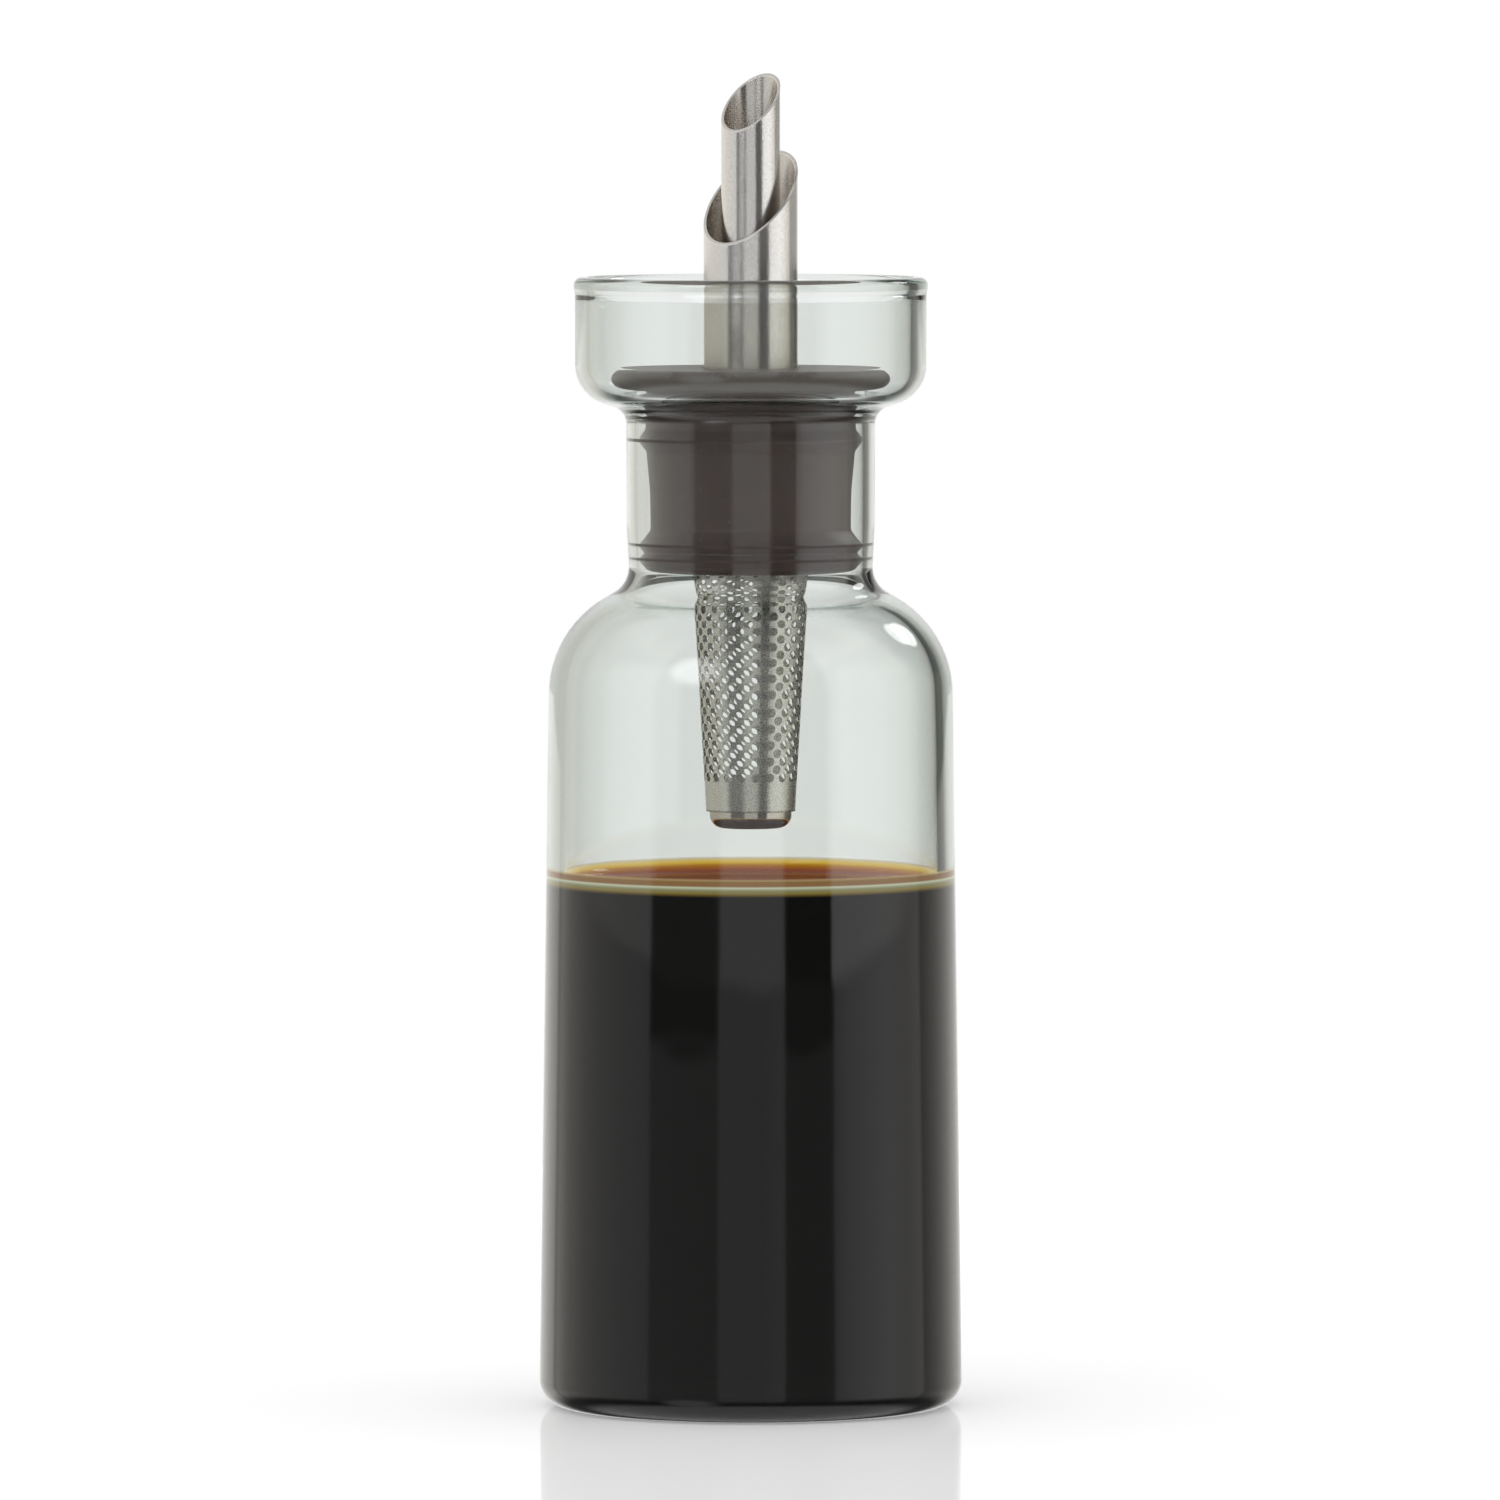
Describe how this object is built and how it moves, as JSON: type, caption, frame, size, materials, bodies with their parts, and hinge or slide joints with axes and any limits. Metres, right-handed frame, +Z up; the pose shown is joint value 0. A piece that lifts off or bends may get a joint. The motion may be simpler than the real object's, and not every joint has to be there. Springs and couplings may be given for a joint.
{
  "type": "oil dispenser bottle",
  "caption": "Tinted glass oil dispenser bottle with a drip cup round its mouth, a ribbed stopper, a double oblique pouring spout and a hanging perforated strainer.",
  "frame": {"origin": "on the table under the middle of the bottle, at the plane of the base's contact ring", "axes": "+Z up along the bottle's axis; -Y is the front, as in the picture; the spout's lip points to the right and back"},
  "size_m": [0.072, 0.072, 0.2267],
  "materials": {
    "smoke_glass": "clear smoke-tinted glass, fire polished",
    "dark_silicone": "matte moulded silicone, dark warm grey",
    "satin_steel": "satin stainless tube with a fine grain",
    "strainer_steel": "polished perforated stainless sheet"
  },
  "bodies": {
    "bottle": {"bottle": "smoke_glass"},
    "stopper": {"stopper": "dark_silicone"},
    "spout": {"outer_spout": "satin_steel", "inner_spout": "satin_steel", "spout_carrier": "satin_steel"},
    "strainer": {"strainer_sleeve": "strainer_steel", "strainer_end_cup": "strainer_steel"}
  },
  "joints": [
    {"name": "stopper_lift", "type": "slide", "parent": "bottle", "child": "stopper", "axis": [0, 0, 1], "range_m": [0, 0.1]},
    {"name": "spout_turn", "type": "hinge", "parent": "stopper", "child": "spout", "pos_m": [0, 0, 0.1768], "axis": [0, 0, 1], "continuous": true},
    {"name": "strainer_pull", "type": "slide", "parent": "stopper", "child": "strainer", "axis": [0, 0, -1], "range_m": [0, 0.025]}
  ]
}
